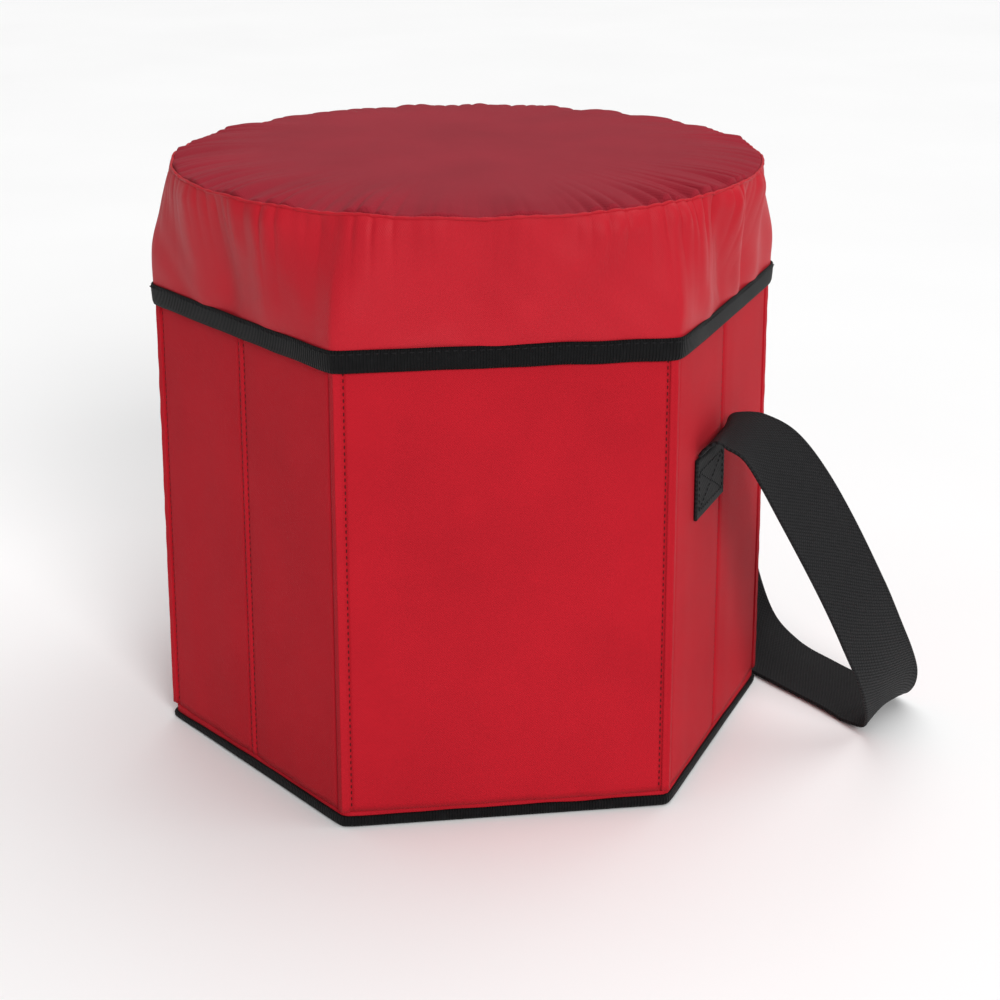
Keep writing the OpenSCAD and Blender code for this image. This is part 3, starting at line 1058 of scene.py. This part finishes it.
def smooth_curve(values, steps):
    """A Catmull-Rom curve through the values."""
    values = np.asarray(values, float)
    last = len(values) - 1
    out = []
    for k in range(last * steps + 1):
        i = min(k // steps, last - 1)
        f = k / steps - i
        p0, p1 = values[max(i - 1, 0)], values[i]
        p2, p3 = values[i + 1], values[min(i + 2, last)]
        out.append(0.5 * (
            2 * p1 + (p2 - p0) * f + (2 * p0 - 5 * p1 + 4 * p2 - p3) * f * f
            + (3 * p1 - p0 - 3 * p2 + p3) * f ** 3
        ))
    return np.array(out)


def band_section():
    """Half thickness and place across for points round the webbing's section: flat faces with
    a thicker woven edge on each side."""
    half = STRAP_W / 2
    places = [-1, -0.985, -0.955, -0.925, -0.90, -0.6, -0.3, 0, 0.3, 0.6, 0.90, 0.925, 0.955, 0.985, 1]
    thick = [0.25, 0.85, 1.08, 0.98, 0.84, 0.86, 0.88, 0.88, 0.88, 0.86, 0.84, 0.98, 1.08, 0.85, 0.25]
    top = [(p * half, t * STRAP_T / 2) for p, t in zip(places, thick)]
    bottom = [(p, -t) for p, t in reversed(top)]
    return top + bottom


def band(name, middle, across, material, body, replaces):
    """Webbing swept along its middle line."""
    forward = np.gradient(middle, axis=0)
    forward /= np.linalg.norm(forward, axis=1)[:, None]
    across = across - (across * forward).sum(1)[:, None] * forward
    across /= np.linalg.norm(across, axis=1)[:, None]
    out = np.cross(forward, across)
    section = band_section()
    length = np.concatenate([[0], np.cumsum(np.linalg.norm(np.diff(middle, axis=0), axis=1))])
    points = np.array([
        middle + p * across + t * out for p, t in section
    ]).transpose(1, 0, 2)
    rows, cols = points.shape[:2]
    faces, places = grid_faces(rows, cols, True)
    us = [p for p, _ in section] + [section[0][0]]
    uvs = [(us[j] if j < cols else us[-1], length[i]) for i, j in places]
    faces.append([j for j in reversed(range(cols))])
    faces.append([(rows - 1) * cols + j for j in range(cols)])
    uvs += [(us[j], 0) for j in reversed(range(cols))] + [(us[j], length[-1]) for j in range(cols)]
    obj = new_object(name, points.reshape(-1, 3), faces, uvs)
    return finish_piece(obj, material, body, replaces)


def free_strap():
    """The loop of webbing between its two sewn ends."""
    middle = smooth_curve([m for m, _ in ROUTE], 14) * MM
    across = smooth_curve([a for _, a in ROUTE], 14)
    obj = band("strap_webbing", middle, across, webbing, "strap", ["strap"])
    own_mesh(obj)
    return obj


def strap_tab(name, node, normal, body):
    """A sewn end: flat webbing, held by a stitched box with a cross in it."""
    low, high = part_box(node)
    a = math.radians(normal)
    out = np.array([math.cos(a), math.sin(a), 0])
    along = np.array([-math.sin(a), math.cos(a), 0])
    centre = (np.array(low) + np.array(high)) / 2
    z0, z1 = low[2], high[2] + 0.8 * MM
    zs = np.linspace(z0, z1, 12)
    middle = centre[None, :2] + 0 * zs[:, None]
    middle = np.concatenate([middle, zs[:, None]], 1) + 0.25 * MM * out
    across = np.tile(along, (len(zs), 1))
    band(name, middle, across, webbing, body, [node])
    inset = 4 * MM
    u, z_low, z_high = STRAP_W / 2 - inset, z0 + inset, low[2] + 25 * MM
    corners = [(-u, z_low), (u, z_low), (u, z_high), (-u, z_high), (-u, z_low)]
    cross = [[(-u, z_low), (u, z_high)], [(-u, z_high), (u, z_low)]]
    lift = 0.25 * MM + STRAP_T / 2 * 0.92
    runs = []
    for path in [corners[i:i + 2] for i in range(4)] + cross:
        ends = np.array([
            np.append(centre[:2], z) + along * across_at + out * lift for across_at, z in path
        ])
        runs.append((ends, np.tile(out, (2, 1))))
    stitches(f"{name}_stitches", runs, black_thread, body, 2.6 * MM, 0.8 * MM, 0.3 * MM)


# ---- scene ----

def cad_leftovers():
    """Finishes for the CAD nodes that stay inside the pieces: the walls' boards and the welts."""
    board = board_material("board_white", (0.80, 0.80, 0.77))
    for name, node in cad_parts.items():
        if name.endswith("_board"):
            material = board
        elif "welt" in name:
            material = wall_cloth
        else:
            continue
        node.data.materials.clear()
        node.data.materials.append(material)


def make_floor():
    """A broad pale floor, just under the base."""
    s = Shader("studio_floor")
    s.colour(s.ramp(s.noise(3.0), [(0.3, (0.885, 0.885, 0.885)), (0.7, (0.905, 0.905, 0.905))]))
    s.set(Roughness=0.5, Specular_IOR_Level=0.2)
    size = 12.0
    verts = [(-size, -size, 0), (size, -size, 0), (size, size, 0), (-size, size, 0)]
    floor = new_object("floor", verts, [[0, 1, 2, 3]], [(0, 0), (1, 0), (1, 1), (0, 1)])
    floor.location.z = -0.2 * MM
    floor.data.materials.append(s.material)


def sun_light(name, towards, power, spread):
    """A distant soft light in a direction, with its apparent size in degrees."""
    data = bpy.data.lights.new(name, "SUN")
    data.energy = power
    data.angle = math.radians(spread)
    light = bpy.data.objects.new(name, data)
    bpy.context.scene.collection.objects.link(light)
    light.rotation_euler = (-Vector(towards)).to_track_quat("-Z", "Y").to_euler()


def make_studio():
    """White room light, a broad soft light overhead and a key light from the front right."""
    world = bpy.data.worlds.new("studio")
    world.use_nodes = True
    background = world.node_tree.nodes["Background"]
    background.inputs["Color"].default_value = (1, 1, 1, 1)
    background.inputs["Strength"].default_value = 0.32
    bpy.context.scene.world = world
    sun_light("overhead", (0.35, 0.25, 1.0), 1.9, 75)
    sun_light("key", (0.22, -1.0, 0.5), 2.0, 22)
    bpy.context.scene.view_settings.view_transform = "Standard"


build_walls()
base_band()
base_block()
lid_skirt()
lid_cushion()
rim_seam()
hem_tape()
lid_underside()
free_strap()
strap_tab("strap_tab_front", "strap_end_front", -30, "right_front_leaf_a")
strap_tab("strap_tab_rear", "strap_end_rear", 30, "right_rear_leaf_a")
cad_leftovers()
make_floor()
make_studio()
